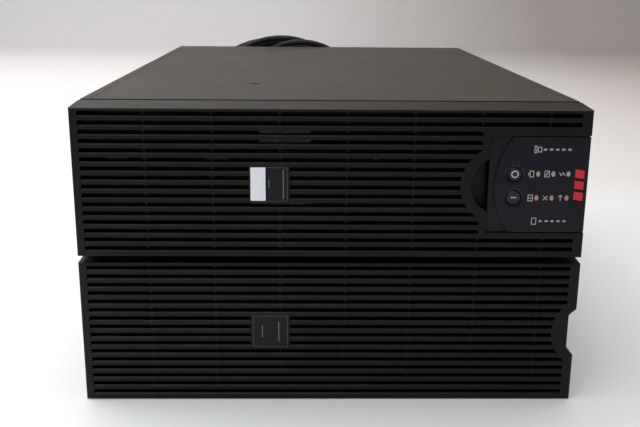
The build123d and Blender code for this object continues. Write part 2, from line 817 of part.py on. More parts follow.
def inductors():
    coils = []
    for x in (-170.0, -110.0, -50.0, 10.0):
        ring = Torus(16, 8)
        coils.append(Pos(x, 262, BOARD_TOP + 8) * ring)
    return group(coils)


def logic_board():
    board = block(130, 131.6, -40, 190, UPS_BASE + 12, UPS_BASE + 112)
    chips = []
    for index in range(5):
        y = -20 + index * 40
        chips.append(block(131.6, 135.6, y, y + 24, UPS_BASE + 40, UPS_BASE + 60))
        chips.append(block(131.6, 140.6, y, y + 14, UPS_BASE + 76, UPS_BASE + 92))
    board += chips
    for y in (-30, 180):
        board += block(126, 130, y - 4, y + 4, UPS_BASE + SHEET, UPS_BASE + 16)
    return board


# ---- rear fittings ----------------------------------------------------------------------
FAN_FRONT = REAR - SHEET - FAN_DEPTH


def fan_frames():
    frames = []
    for x in FAN_X:
        y1 = REAR - SHEET
        body = plate(x, FAN_Z, FAN_SIDE, FAN_SIDE, FAN_FRONT, y1, 4)
        body -= rod(x, FAN_Z, FAN_BORE, FAN_FRONT - 1, y1 + 1)
        for dx in (-FAN_SCREW, FAN_SCREW):
            for dz in (-FAN_SCREW, FAN_SCREW):
                body -= rod(x + dx, FAN_Z + dz, 2.1, FAN_FRONT - 1, y1 + 1)
        base = rod(x, FAN_Z, FAN_HUB, y1 - 3, y1)
        arms = []
        for angle in (0, 90):
            bar = Rot(0, angle, 0) * Box(2 * FAN_BORE + 1, 3, 5)
            arms.append(Pos(x, y1 - 1.5, FAN_Z) * bar)
        shaft = rod(x, FAN_Z, SHAFT_RADIUS, FAN_FRONT + 6, y1 - 2)
        frames.append(body + arms[0] + arms[1] + base + shaft)
    return group(frames)


def fan_rotor(x):
    y0 = FAN_FRONT + 3
    y1 = REAR - SHEET - 6
    hub = rod(x, FAN_Z, FAN_HUB, y0, y1)
    hub = fillet(hub.edges().sort_by(Axis.Y)[0], 2)
    middle = (y0 + y1) / 2
    disc = rod(x, FAN_Z, FAN_TIP, y0 + 0.5, y1 - 0.5) - rod(x, FAN_Z, FAN_HUB - 1, y0, y1)
    blades = []
    for index in range(FAN_BLADES):
        vane = Pos(0, 0, FAN_TIP / 2) * (Rot(0, 0, 38) * Box(26, 1.8, FAN_TIP + 6))
        turned = Rot(0, index * 360 / FAN_BLADES, 0) * vane
        blades.append((Pos(x, middle, FAN_Z) * turned) & disc)
    for blade in blades:
        hub += blade
    bore = SHAFT_RADIUS + SHAFT_CLEARANCE
    return hub - rod(x, FAN_Z, bore, FAN_FRONT + 5.5, y1 + 1)


def fan_screws():
    screws = []
    for x in FAN_X:
        for dx in (-FAN_SCREW, FAN_SCREW):
            for dz in (-FAN_SCREW, FAN_SCREW):
                head = rod(x + dx, FAN_Z + dz, 3.6, REAR, REAR + 2.0)
                head = fillet(head.edges().sort_by(Axis.Y)[-1], 0.9)
                shank = rod(x + dx, FAN_Z + dz, 1.8, REAR - 12, REAR)
                cross = plate(x + dx, FAN_Z + dz, 4.2, 0.9, REAR + 1, REAR + 3)
                cross += plate(x + dx, FAN_Z + dz, 0.9, 4.2, REAR + 1, REAR + 3)
                screws.append(head + shank - cross)
    return group(screws)


def outlet(x, z, width, height, pins):
    """Panel outlet: flange, body, a narrow groove round the island and contact slots."""
    face = REAR + 1.6
    body = plate(x, z, width + 4, height + 4, REAR, face, 1.5)
    body += plate(x, z, width, height, REAR - 24, REAR)
    groove = plate(x, z, width - 3, height - 3, REAR - 14, face + 1, 2)
    groove -= plate(x, z, width - 7.4, height - 7.4, REAR - 15, face + 2, 1.4)
    body -= groove
    for dx, dz, wide, tall in pins:
        body -= plate(x + dx, z + dz, wide, tall, REAR - 12, face + 1)
    return body


def small_outlets():
    pins = ((-5.5, -2.0, 2.4, 4.2), (5.5, -2.0, 2.4, 4.2), (0.0, 2.4, 2.4, 4.0))
    pieces = []
    for x in OUTLET_X:
        for z in OUTLET_Z:
            pieces.append(outlet(x, z, 26, 20, pins))
    return group(pieces)


def large_outlets():
    pins = ((-3.4, -7.0, 5.4, 2.6), (-3.4, 7.0, 5.4, 2.6), (4.4, 0.0, 5.4, 2.6))
    return group([outlet(LARGE_OUTLET_X, z, 26, 36, pins) for z in LARGE_OUTLET_Z])


def mains_inlet():
    face = REAR + 3
    body = plate(INLET_X, INLET_Z, 46, 34, REAR, face, 3)
    body += plate(INLET_X, INLET_Z, 34, 26, REAR - 30, REAR)
    body -= plate(INLET_X, INLET_Z, 28, 20, REAR - 22, face + 1, 3)
    for dx, dz in ((-8.0, 4.0), (8.0, 4.0), (0.0, -4.0)):
        body += plate(INLET_X + dx, INLET_Z + dz, 6, 2, REAR - 23, REAR - 4)
    return body


def breaker_bodies():
    bodies = []
    for z in BREAKER_Z:
        body = plate(BREAKER_X, z, 16, 22, REAR - 34, REAR - SHEET, 1)
        body += rod(BREAKER_X, z, 6, REAR - SHEET, REAR)
        nut = plate(BREAKER_X, z, 15, 15, REAR, REAR + 3, 3.5)
        body += nut
        bore = BREAKER_BUTTON_RADIUS + SHAFT_CLEARANCE
        bodies.append(body - rod(BREAKER_X, z, bore, REAR - 16, REAR + 4))
    return group(bodies)


def breaker_button(z):
    stem = rod(BREAKER_X, z, BREAKER_BUTTON_RADIUS, REAR - 12, REAR + 6)
    return fillet(stem.edges().sort_by(Axis.Y)[-1], 0.8)


def serial_port():
    """Nine-way D connector with its two jack posts."""
    flange = plate(SERIAL_X, LOW_ROW_Z, 31, 12.5, REAR, REAR + 1, 1.5)
    shell = plate(SERIAL_X, LOW_ROW_Z, 16.6, 8.4, REAR, REAR + 6, 2.5)
    body = flange + shell + plate(SERIAL_X, LOW_ROW_Z, 19, 11, REAR - 10, REAR)
    for row, count in ((1.4, 5), (-1.4, 4)):
        for index in range(count):
            dx = (index - (count - 1) / 2) * 2.77
            body -= rod(SERIAL_X + dx, LOW_ROW_Z + row, 0.5, REAR + 2, REAR + 7)
    for dx in (-12.5, 12.5):
        post = plate(SERIAL_X + dx, LOW_ROW_Z, 5, 5, REAR + 1, REAR + 6, 1.2)
        body += post - rod(SERIAL_X + dx, LOW_ROW_Z, 1.3, REAR + 2, REAR + 7)
    return body


def emergency_off_terminal():
    body = plate(EMERGENCY_X, LOW_ROW_Z, 20, 9, REAR - 10, REAR + 6)
    for index in range(4):
        x = EMERGENCY_X - 7.5 + index * 5
        body -= plate(x, LOW_ROW_Z - 1.6, 3.4, 3.4, REAR - 2, REAR + 7)
        body -= rod(x, LOW_ROW_Z + 2.6, 1.1, REAR + 3, REAR + 7)
    return body


def battery_socket(x, z):
    """Two-pole high-current socket: each cavity has a contact along its floor."""
    body = plate(x, z, 44, 22, REAR - 22, REAR + 9, 2.5)
    body += plate(x, z, 52, 26, REAR, REAR + 2, 2)
    for dx in (-10.5, 10.5):
        body -= plate(x + dx, z, 16, 15, REAR - 14, REAR + 10, 1.5)
        body += plate(x + dx, z - 5.5, 9, 3, REAR - 15, REAR + 3)
    return body


def network_card():
    """Plug-in card: face plate, board and a network jack."""
    x0 = CARD_X - 47
    x1 = CARD_X + 47
    card = plate(CARD_X, CARD_Z, CARD_WIDTH, CARD_HEIGHT, REAR, REAR + SHEET, 1)
    board_z = CARD_Z - 10
    card += block(x0, x1, REAR - CARD_REACH, REAR, board_z - 1.6, board_z)
    jack_x = CARD_X - 22
    card += block(jack_x - 8.5, jack_x + 8.5, REAR - 20, REAR + 2.5, board_z, board_z + 14)
    card -= plate(jack_x, board_z + 7, 12, 8, REAR - 12, REAR + 3)
    for index in range(3):
        cx = CARD_X + 2 + index * 16
        card += block(cx, cx + 12, REAR - 70, REAR - 50, board_z, board_z + 3)
    for dx in (-52.5, 52.5):
        card -= rod(CARD_X + dx, CARD_Z, 2.2, REAR - 1, REAR + 3)
    for index in range(4):
        card -= rod(CARD_X + 8 + index * 8, CARD_Z + 2, 1.5, REAR - 1, REAR + 3)
    return card


def card_screws():
    screws = []
    for dx in (-52.5, 52.5):
        x = CARD_X + dx
        head = rod(x, CARD_Z, 4.5, REAR + SHEET, BACK)
        grooves = []
        for index in range(12):
            angle = radians(index * 30)
            grooves.append(
                rod(x + 4.6 * cos(angle), CARD_Z + 4.6 * sin(angle), 0.45, REAR + 3, BACK + 1)
            )
        screws.append(head - grooves + rod(x, CARD_Z, 2.0, REAR - 5, REAR + SHEET))
    return group(screws)


def pack_breaker_body():
    face = REAR + 4
    body = plate(TOGGLE_X, TOGGLE_Z, 26, 60, REAR - 40, REAR)
    body += plate(TOGGLE_X, TOGGLE_Z, 32, 66, REAR, face - 2, 2)
    body += plate(TOGGLE_X, TOGGLE_Z, 22, 40, REAR, face, 2)
    body -= plate(TOGGLE_X, TOGGLE_Z, 10, 26, TOGGLE_AXIS_Y - 8, face + 1)
    pin = rod_x(TOGGLE_AXIS_Y, TOGGLE_Z, 1.55, TOGGLE_X - 8, TOGGLE_X + 8)
    return body - pin


def pack_breaker_toggle():
    lever = rod_x(TOGGLE_AXIS_Y, TOGGLE_Z, 5, TOGGLE_X - 4.4, TOGGLE_X + 4.4)
    lever += rod_x(TOGGLE_AXIS_Y, TOGGLE_Z, 1.5, TOGGLE_X - 7.5, TOGGLE_X + 7.5)
    arm = block(-4.4, 4.4, 0, 17, -2.2, 2.2)
    arm = chamfer(arm.edges().filter_by(Axis.X), 0.8)
    turned = Pos(TOGGLE_X, TOGGLE_AXIS_Y, TOGGLE_Z) * (Rot(TOGGLE_REST, 0, 0) * arm)
    return lever + turned


# ---- mains cord -------------------------------------------------------------------------
def mains_connector():
    """Moulded connector in the inlet, with a tapered strain relief."""
    body = plate(INLET_X, INLET_Z, 27.4, 19.4, REAR - 3.5, REAR + 3, 2.8)
    grip = plate(INLET_X, INLET_Z, 34, 27, REAR + 3, CONNECTOR_END, 5)
    grip = fillet(grip.edges().group_by(Axis.Y)[-1], 3)
    relief = Pos(INLET_X, CONNECTOR_END, INLET_Z) * (
        Rot(-90, 0, 0)
        * Cone(8.5, 5.6, RELIEF_END - CONNECTOR_END, align=(Align.CENTER,) * 2 + (Align.MIN,))
    )
    return body + grip + relief


def lean_point(u, v, n):
    """A place on the leaning coil: across, along its height, and out from its front face."""
    tilt = radians(LEAN)
    return Vector(
        COIL_X + u,
        COIL_FRONT_Y - v * sin(tilt) + n * cos(tilt),
        v * cos(tilt) + n * sin(tilt),
    )


def leaning(outline):
    """Extrudes an outline in the coil's plane by the coil's thickness."""
    tilt = radians(LEAN)
    plane = Plane(
        origin=lean_point(0, 0, 0), x_dir=(1, 0, 0), z_dir=(0, cos(tilt), sin(tilt))
    )
    return extrude(plane * outline, amount=COIL_THICKNESS)


def mains_cord_coil():
    # in this plane the second axis points down the lean, so heights are negative
    middle = -(COIL_HALF_HEIGHT + 1)
    ring = leaning(Pos(0, middle) * Ellipse(COIL_HALF_WIDTH, COIL_HALF_HEIGHT))
    ring -= leaning(Pos(0, middle) * Ellipse(COIL_HOLE_HALF_WIDTH, COIL_HOLE_HALF_HEIGHT))
    foot = block(
        COIL_X - FOOT_LEFT,
        COIL_X + FOOT_RIGHT,
        COIL_FRONT_Y + 0.5,
        COIL_FRONT_Y + 32,
        0.0,
        14.0,
    )
    return ring + foot


def route_radii(points):
    """The bend at each corner of a route: as large as its two runs allow."""
    spots = [Vector(*point) for point in points]
    radii = []
    for before, here, after in zip(spots, spots[1:], spots[2:]):
        first = here - before
        second = after - here
        half_turn = radians(first.get_angle(second)) / 2
        radii.append(0.45 * min(first.length, second.length) / tan(half_turn))
    return radii


def cord_tube(points):
    radii = route_radii(points)
    path = FilletPolyline(*points, radius=radii)
    start = Vector(*points[0])
    section = Plane(origin=start, z_dir=Vector(*points[1]) - start) * Circle(CORD_DIAMETER / 2)
    tube = sweep(section, path=path)
    expected = 3.14159265 * (CORD_DIAMETER / 2) ** 2 * path.length
    print("cord run", round(path.length, 1), "mm, least bend", round(min(radii), 1))
    print("volume over section times length", round(tube.volume / expected, 4))
    return tube


def mains_cord():
    return group([cord_tube(LEAD_ROUTE), cord_tube(TAIL_ROUTE)])


def cord_tie(coil):
    """Hook-and-loop band round one side of the coil."""
    tilt = radians(LEAN)
    plane = Plane(
        origin=lean_point(0, 0, -1.2), x_dir=(1, 0, 0), z_dir=(0, cos(tilt), sin(tilt))
    )
    sleeve = Pos(-(COIL_HALF_WIDTH + COIL_HOLE_HALF_WIDTH) / 2, -(COIL_HALF_HEIGHT + 1))
    width = COIL_HALF_WIDTH - COIL_HOLE_HALF_WIDTH + 2.4
    outer = extrude(plane * (sleeve * Rectangle(width, 18)), amount=COIL_THICKNESS + 2.4)
    return outer - coil


def mains_plug():
    """Moulded plug on the floor, with a tapered relief and two round pins."""
    relief = Cone(5.6, 8.0, 18, align=(Align.CENTER,) * 2 + (Align.MIN,))
    body = Pos(0, 0, 18) * extrude(RectangleRounded(22, 14, 4), amount=24)
    for dx in (-5.0, 5.0):
        body += Pos(dx, 0, 42) * Cylinder(2.0, 14, align=(Align.CENTER,) * 2 + (Align.MIN,))
    end = Vector(*TAIL_ROUTE[-1])
    along = end - Vector(*TAIL_ROUTE[-2])
    lying = Plane(origin=end, x_dir=along.cross(Vector(0, 0, 1)), z_dir=along)
    return lying * (relief + body)


# ---- write every node -------------------------------------------------------------------
def main():
    os.makedirs("parts", exist_ok=True)
    status, bars = lamp_places()
    coil = mains_cord_coil()
    nodes = {
        "ups_bezel": ups_bezel(),
        "pack_bezel": pack_bezel(),
        "ups_badge": badge(UPS_BADGE_Z),
        "pack_badge": badge(PACK_BADGE_Z),
        "ups_sticker": badge_sticker(),
        "display_housing": display_housing(),
        "display_board": display_board(),
        "off_button": push_button(OFF_BUTTON_Z, OFF_BUTTON_RADIUS),
        "on_button": push_button(ON_BUTTON_Z, ON_BUTTON_RADIUS),
        "status_lamps": lamp_group(status, 3.5, 5.0),
        "bar_lamps": lamp_group(bars, 3.5, 2.0),
        "emblem_inlay": emblem_inlay(),
        "ups_chassis": ups_chassis(),
        "pack_chassis": pack_chassis(),
        "ups_top_cover": lid(UPS_BASE, lid_places()),
        "pack_top_cover": lid(0, lid_places()),
        "case_screws": case_screws(),
        "ups_rear_panel": ups_rear_panel(),
        "pack_rear_panel": pack_rear_panel(),
        "stacking_pads": stacking_pads(),
        "ups_battery_door": battery_door(
            UPS_BASE, -DOOR_EDGE, UPS_DOOR_RIGHT, ups_door_screw_places()
        ),
        "pack_battery_door": battery_door(0, -DOOR_EDGE, DOOR_EDGE, pack_door_screw_places()),
        "ups_door_screws": group([thumbscrew(x, z) for x, z in ups_door_screw_places()]),
        "pack_door_screws": group([thumbscrew(x, z) for x, z in pack_door_screw_places()]),
        "power_board": power_board(),
        "heat_sinks": heat_sinks(),
        "capacitors": capacitors(),
        "inductors": inductors(),
        "logic_board": logic_board(),
        "fan_frames": fan_frames(),
        "fan_screws": fan_screws(),
        "fan_rotor_left": fan_rotor(FAN_X[0]),
        "fan_rotor_right": fan_rotor(FAN_X[1]),
        "small_outlets": small_outlets(),
        "large_outlets": large_outlets(),
        "mains_inlet": mains_inlet(),
        "breaker_bodies": breaker_bodies(),
        "breaker_button_upper": breaker_button(BREAKER_Z[0]),
        "breaker_button_lower": breaker_button(BREAKER_Z[1]),
        "serial_port": serial_port(),
        "emergency_off_terminal": emergency_off_terminal(),
        "ups_battery_socket": battery_socket(SOCKET_X, LOW_ROW_Z),
        "network_card": network_card(),
        "card_screws": card_screws(),
        "pack_battery_sockets": group([battery_socket(x, PACK_SOCKET_Z) for x in PACK_SOCKET_X]),
        "pack_breaker_body": pack_breaker_body(),
        "pack_breaker_toggle": pack_breaker_toggle(),
        "mains_connector": mains_connector(),
        "mains_cord": mains_cord(),
        "mains_cord_coil": coil,
        "cord_tie": cord_tie(coil),
        "mains_plug": mains_plug(),
    }
    layouts = (
        ("ups", UPS_BASE, UPS_TRAY_X, UPS_BLOCK, UPS_BLOCKS),
        ("pack", 0.0, PACK_TRAY_X, PACK_BLOCK, PACK_BLOCKS),
    )
    for unit, base, tray_x, block_size, counts in layouts:
        for side, x0 in zip(("left", "right"), tray_x):
            nodes[f"{unit}_tray_{side}"] = battery_tray(base, x0, block_size, counts)
            nodes[f"{unit}_blocks_{side}"] = battery_blocks(base, x0, block_size, counts)
    for node, shape in nodes.items():
        save(shape, node)
    print(len(nodes), "nodes written")


main()
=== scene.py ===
import json
from math import cos, pi, radians, sin

import bmesh
import bpy
from mathutils import Matrix, Vector


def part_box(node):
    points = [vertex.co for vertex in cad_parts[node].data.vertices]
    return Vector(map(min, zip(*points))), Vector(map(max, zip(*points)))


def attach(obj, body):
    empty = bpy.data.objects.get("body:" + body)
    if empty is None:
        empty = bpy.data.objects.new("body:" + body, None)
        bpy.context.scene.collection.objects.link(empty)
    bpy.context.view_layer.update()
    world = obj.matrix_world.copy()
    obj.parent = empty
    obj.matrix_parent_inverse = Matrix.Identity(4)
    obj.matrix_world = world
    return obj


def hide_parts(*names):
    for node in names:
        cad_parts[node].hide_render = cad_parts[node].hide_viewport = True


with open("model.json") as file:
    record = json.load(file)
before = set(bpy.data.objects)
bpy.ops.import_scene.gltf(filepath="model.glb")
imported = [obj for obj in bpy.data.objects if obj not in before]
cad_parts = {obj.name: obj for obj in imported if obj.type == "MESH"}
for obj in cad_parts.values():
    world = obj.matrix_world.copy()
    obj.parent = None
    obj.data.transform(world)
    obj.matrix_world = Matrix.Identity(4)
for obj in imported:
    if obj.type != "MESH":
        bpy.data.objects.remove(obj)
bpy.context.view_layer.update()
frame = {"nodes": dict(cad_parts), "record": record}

MM = 0.001

# ---- places, all from the frame --------------------------------------------------------
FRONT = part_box("ups_bezel")[0].y
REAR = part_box("ups_chassis")[1].y


def middle_of(node):
    low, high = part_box(node)
    return (low + high) / 2


# ---- node helpers ----------------------------------------------------------------------
class Graph:
    """A principled material with short ways to add procedural detail."""

    def __init__(self, name):
        self.material = bpy.data.materials.new(name)
        self.material.use_nodes = True
        self.nodes = self.material.node_tree.nodes
        self.links = self.material.node_tree.links
        self.shader = self.nodes["Principled BSDF"]
        self.place = self.nodes.new("ShaderNodeTexCoord").outputs["Object"]

    def stretched(self, scale):
        mapping = self.nodes.new("ShaderNodeMapping")
        mapping.inputs["Scale"].default_value = scale
        self.links.new(self.place, mapping.inputs["Vector"])
        return mapping.outputs["Vector"]

    def noise(self, scale, detail=3.0, vector=None, roughness=0.5):
        node = self.nodes.new("ShaderNodeTexNoise")
        node.inputs["Scale"].default_value = scale
        node.inputs["Detail"].default_value = detail
        node.inputs["Roughness"].default_value = roughness
        self.links.new(vector or self.place, node.inputs["Vector"])
        return node.outputs["Fac"]

    def wave(self, scale, direction="X", distortion=0.0):
        node = self.nodes.new("ShaderNodeTexWave")
        node.bands_direction = direction
        node.inputs["Scale"].default_value = scale
        node.inputs["Distortion"].default_value = distortion
        self.links.new(self.place, node.inputs["Vector"])
        return node.outputs["Fac"]

    def remap(self, value, low, high, start=0.3, end=0.7):
        """Stretch start..end of a value to low..high, clamped."""
        node = self.nodes.new("ShaderNodeMapRange")
        node.inputs["From Min"].default_value = start
        node.inputs["From Max"].default_value = end
        node.inputs["To Min"].default_value = low
        node.inputs["To Max"].default_value = high
        self.links.new(value, node.inputs["Value"])
        return node.outputs["Result"]

    def blend(self, factor, first, second):
        node = self.nodes.new("ShaderNodeMix")
        node.data_type = "RGBA"
        for socket, colour in ((node.inputs[6], first), (node.inputs[7], second)):
            if isinstance(colour, tuple):
                socket.default_value = (*colour, 1.0)
            else:
                self.links.new(colour, socket)
        self.links.new(factor, node.inputs[0])
        return node.outputs[2]

    def times(self, first, second):
        node = self.nodes.new("ShaderNodeMath")
        node.operation = "MULTIPLY"
        self.links.new(first, node.inputs[0])
        self.links.new(second, node.inputs[1])
        return node.outputs["Value"]

    def colour(self, socket):
        self.links.new(socket, self.shader.inputs["Base Color"])

    def rough(self, socket):
        self.links.new(socket, self.shader.inputs["Roughness"])

    def bump(self, height, strength, distance, edge=0.0):
        """Relief in metres, over edges that look rounded to the given radius."""
        node = self.nodes.new("ShaderNodeBump")
        if edge:
            soft = self.nodes.new("ShaderNodeBevel")
            soft.samples = 6
            soft.inputs["Radius"].default_value = edge
            self.links.new(soft.outputs["Normal"], node.inputs["Normal"])
        node.inputs["Strength"].default_value = strength
        node.inputs["Distance"].default_value = distance
        self.links.new(height, node.inputs["Height"])
        self.links.new(node.outputs["Normal"], self.shader.inputs["Normal"])

    def fixed(self, **values):
        """Values that are the same all over, set on the shader's own sockets."""
        names = {
            "specular": "Specular IOR Level",
            "metallic": "Metallic",
            "coat": "Coat Weight",
            "sheen": "Sheen Weight",
            "subsurface": "Subsurface Weight",
        }
        for key, value in values.items():
            self.shader.inputs[names[key]].default_value = value


def lighter(colour, factor):
    return tuple(min(1.0, channel * factor) for channel in colour)


def moulded(
    name, colour, rough=0.5, specular=0.35, spread=1.35, grain=1400.0, bump=0.18, edge=0.0
):
    """Textured moulded plastic: spark-eroded grain, faint dust and softly rounded edges."""
    graph = Graph(name)
    fine = graph.noise(grain, 2.0)
    broad = graph.noise(14.0, 4.0, roughness=0.6)
    tone = graph.blend(graph.remap(broad, 0.0, 1.0), colour, lighter(colour, spread))
    speck = graph.remap(fine, 0.0, 0.35, 0.62, 0.8)
    graph.colour(graph.blend(speck, tone, lighter(colour, 2.2)))
    graph.rough(graph.remap(broad, rough - 0.06, rough + 0.08))
    graph.bump(fine, bump, 0.00006, edge)
    graph.fixed(specular=specular)
    return graph.material


def powder_coat(name, colour, rough=0.42, specular=0.5):
    """Powder coat on sheet: fine orange peel, slow tone drift, a few scuffs."""
    graph = Graph(name)
    peel = graph.noise(520.0, 2.0)
    broad = graph.noise(5.0, 5.0, roughness=0.65)
    scuff = graph.noise(60.0, 6.0, graph.stretched((1.0, 0.08, 1.0)), 0.7)
    tone = graph.blend(graph.remap(broad, 0.0, 1.0), colour, lighter(colour, 1.25))
    graph.colour(graph.blend(graph.remap(scuff, 0.0, 0.5, 0.66, 0.8), tone, lighter(colour, 1.9)))
    graph.rough(graph.remap(broad, rough - 0.05, rough + 0.07))
    graph.bump(peel, 0.22, 0.00008)
    graph.fixed(specular=specular)
    return graph.material


def metal(name, colour, rough=0.35, stretch=(1.0, 30.0, 30.0), spangle=0.0):
    """Bare or plated metal with rolling lines, and zinc spangle if asked."""
    graph = Graph(name)
    lines = graph.noise(40.0, 5.0, graph.stretched(stretch), 0.6)
    tone = graph.blend(graph.remap(lines, 0.0, 1.0), lighter(colour, 0.75), colour)
    if spangle:
        cells = graph.nodes.new("ShaderNodeTexVoronoi")
        cells.inputs["Scale"].default_value = 120.0
        graph.links.new(graph.place, cells.inputs["Vector"])
        patch = graph.remap(cells.outputs["Distance"], 0.0, spangle, 0.0, 1.0)
        tone = graph.blend(patch, tone, lighter(colour, 1.3))
    graph.colour(tone)
    graph.rough(graph.remap(lines, rough - 0.08, rough + 0.12))
    graph.bump(lines, 0.1, 0.00005)
    graph.fixed(metallic=1.0)
    return graph.material


def rubber(name, colour, rough=0.55, specular=0.35):
    """Cord sheath and moulded rubber: dull, slightly dusty, with faint flow lines."""
    graph = Graph(name)
    dust = graph.noise(90.0, 6.0, roughness=0.7)
    fine = graph.noise(2200.0, 2.0)
    graph.colour(graph.blend(graph.remap(dust, 0.0, 1.0, 0.4, 0.75), colour, lighter(colour, 1.8)))
    graph.rough(graph.remap(dust, rough - 0.1, rough + 0.12))
    graph.bump(fine, 0.15, 0.00005)
    graph.fixed(specular=specular)
    return graph.material


def circuit(name):
    """Green board: solder resist over fine tracks, with bright pads."""
    graph = Graph(name)
    tracks = graph.times(graph.wave(160.0, "X", 6.0), graph.wave(120.0, "Y", 4.0))
    pads = graph.noise(420.0, 1.0)
    resist = (0.01, 0.09, 0.04)
    track = (0.03, 0.2, 0.09)
    solder = (0.6, 0.6, 0.58)
    base = graph.blend(graph.remap(tracks, 0.0, 1.0, 0.35, 0.5), resist, track)
    graph.colour(graph.blend(graph.remap(pads, 0.0, 1.0, 0.7, 0.74), base, solder))
    graph.rough(graph.remap(tracks, 0.25, 0.4))
    graph.bump(tracks, 0.2, 0.00008)
    return graph.material


def woven(name, colour):
    """Narrow woven band."""
    graph = Graph(name)
    weave = graph.times(graph.wave(420.0, "X"), graph.wave(420.0, "Z"))
    graph.colour(graph.blend(graph.remap(weave, 0.0, 1.0, 0.0, 0.6), colour, lighter(colour, 2.4)))
    graph.rough(graph.remap(weave, 0.75, 0.95, 0.0, 1.0))
    graph.bump(weave, 0.6, 0.0003)
    graph.fixed(sheen=0.3)
    return graph.material


def winding(name):
    """Enamelled copper turns, with painted shade in the grooves between them."""
    graph = Graph(name)
    # The darker groove colour is painted shade between the turns, not a colour of the wire.
    turns = graph.wave(330.0, "X", 1.5)
    groove_shade = (0.25, 0.08, 0.02)
    wire = (0.75, 0.33, 0.12)
    graph.colour(graph.blend(graph.remap(turns, 0.0, 1.0, 0.2, 0.8), groove_shade, wire))
    graph.rough(graph.remap(turns, 0.3, 0.5))
    graph.bump(turns, 0.8, 0.0006)
    graph.fixed(metallic=0.7)
    return graph.material


def paper(name, colour, rough=0.6):
    """Printed film or paper: even, with a faint fibre."""
    graph = Graph(name)
    fibre = graph.noise(700.0, 4.0)
    soil = graph.noise(45.0, 4.0)
    shade = graph.blend(graph.remap(fibre, 0.0, 1.0), lighter(colour, 0.93), colour)
    graph.colour(graph.blend(graph.remap(soil, 0.0, 0.12, 0.5, 0.8), shade, lighter(colour, 0.8)))
    graph.rough(graph.remap(soil, rough - 0.05, rough + 0.08))
    graph.bump(fibre, 0.1, 0.00004)
    return graph.material


def lamp_lens(name, colour):
    """Unlit translucent light pipe."""
    graph = Graph(name)
    cloud = graph.noise(600.0, 3.0)
    graph.colour(graph.blend(graph.remap(cloud, 0.0, 1.0), lighter(colour, 0.8), colour))
    graph.rough(graph.remap(cloud, 0.22, 0.35))
    graph.bump(cloud, 0.08, 0.00005)
    graph.fixed(subsurface=0.15, coat=0.3)
    return graph.material


SOFT_EDGE = 0.7 * MM
LOOKS = {
    "bezel_black": moulded(
        "bezel_plastic", (0.0042, 0.0038, 0.0030), rough=0.45, specular=0.20, edge=SOFT_EDGE
    ),
    "display_black": moulded(
        "display_plastic",
        (0.0048, 0.0048, 0.0086),
        rough=0.38,
        specular=0.22,
        spread=1.2,
        grain=1800.0,
        bump=0.1,
        edge=SOFT_EDGE,
    ),
    "case_paint": powder_coat("case_paint", (0.034, 0.026, 0.020), rough=0.5, specular=0.14),
    "rear_paint": powder_coat("rear_paint", (0.022, 0.020, 0.019)),
    "zinc_sheet": metal(
        "zinc_sheet", (0.52, 0.53, 0.54), rough=0.38, stretch=(1.0, 6.0, 6.0), spangle=0.6
    ),
    "screw_steel": metal("screw_steel", (0.42, 0.42, 0.43), rough=0.3),
    "black_screw": metal("black_screw", (0.035, 0.034, 0.033), rough=0.42),
    "battery_case": moulded("battery_plastic", (0.035, 0.04, 0.048), rough=0.45, specular=0.4),
    "circuit_board": circuit("circuit_board"),
    "sink_aluminium": metal(
        "sink_aluminium", (0.68, 0.69, 0.7), rough=0.32, stretch=(30.0, 30.0, 1.0)
    ),
    "can_sleeve": moulded(
        "can_sleeve",
        (0.02, 0.035, 0.1),
        rough=0.3,
        specular=0.5,
        spread=1.2,
        grain=300.0,
        bump=0.05,
    ),
    "copper_winding": winding("copper_winding"),
    "socket_black": moulded("socket_plastic", (0.013, 0.013, 0.014), rough=0.42, specular=0.4),
    "button_grey": moulded(
        "button_plastic",
        (0.010, 0.0105, 0.014),
        rough=0.36,
        specular=0.35,
        spread=1.2,
        grain=1800.0,
        bump=0.08,
        edge=0.6 * MM,
    ),
    "button_red": moulded("button_red", (0.32, 0.012, 0.012), rough=0.38, specular=0.45),
    "lamp_clear": lamp_lens("lamp_grey", (0.42, 0.42, 0.4)),
    "emblem_red": moulded(
        "emblem_red",
        (0.62, 0.014, 0.028),
        rough=0.45,
        specular=0.4,
        spread=1.15,
        grain=900.0,
        bump=0.06,
    ),
    "badge_black": moulded(
        "badge_film",
        (0.0042, 0.0044, 0.0054),
        rough=0.34,
        specular=0.2,
        spread=1.2,
        grain=1200.0,
        bump=0.05,
    ),
    "label_white": paper("label_paper", (0.93, 0.95, 1.0)),
    "pad_rubber": rubber("pad_rubber", (0.02, 0.02, 0.02)),
    "cord_rubber": rubber("cord_rubber", (0.0075, 0.0078, 0.0065), rough=0.6, specular=0.2),
    "tie_fabric": woven("tie_band", (0.012, 0.012, 0.013)),
    "port_metal": metal("port_metal", (0.6, 0.6, 0.58), rough=0.28),
}
DARK_SCREWS = ("ups_door_screws", "pack_door_screws")
PRINT_GREY = paper("print_grey", (0.50, 0.51, 0.53), rough=0.5)
PRINT_DIM = paper("print_dim", (0.13, 0.13, 0.14), rough=0.5)
BATTERY_LABEL = paper("battery_label", (0.42, 0.44, 0.46), rough=0.45)
LEAD_RED = rubber("lead_red", (0.35, 0.02, 0.015), rough=0.4, specular=0.4)
LAMP_GREEN = lamp_lens("lamp_green", (0.40, 0.42, 0.22))
LAMP_ROSE = lamp_lens("lamp_rose", (0.52, 0.27, 0.27))


def dress_nodes():
    """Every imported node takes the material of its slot, apart from the dark door screws."""
    for part in frame["record"]["subparts"]:
        node = frame["nodes"][part["node"]]
        look = "black_screw" if part["node"] in DARK_SCREWS else part["material_slot"]
        node.data.materials.clear()
        node.data.materials.append(LOOKS[look])


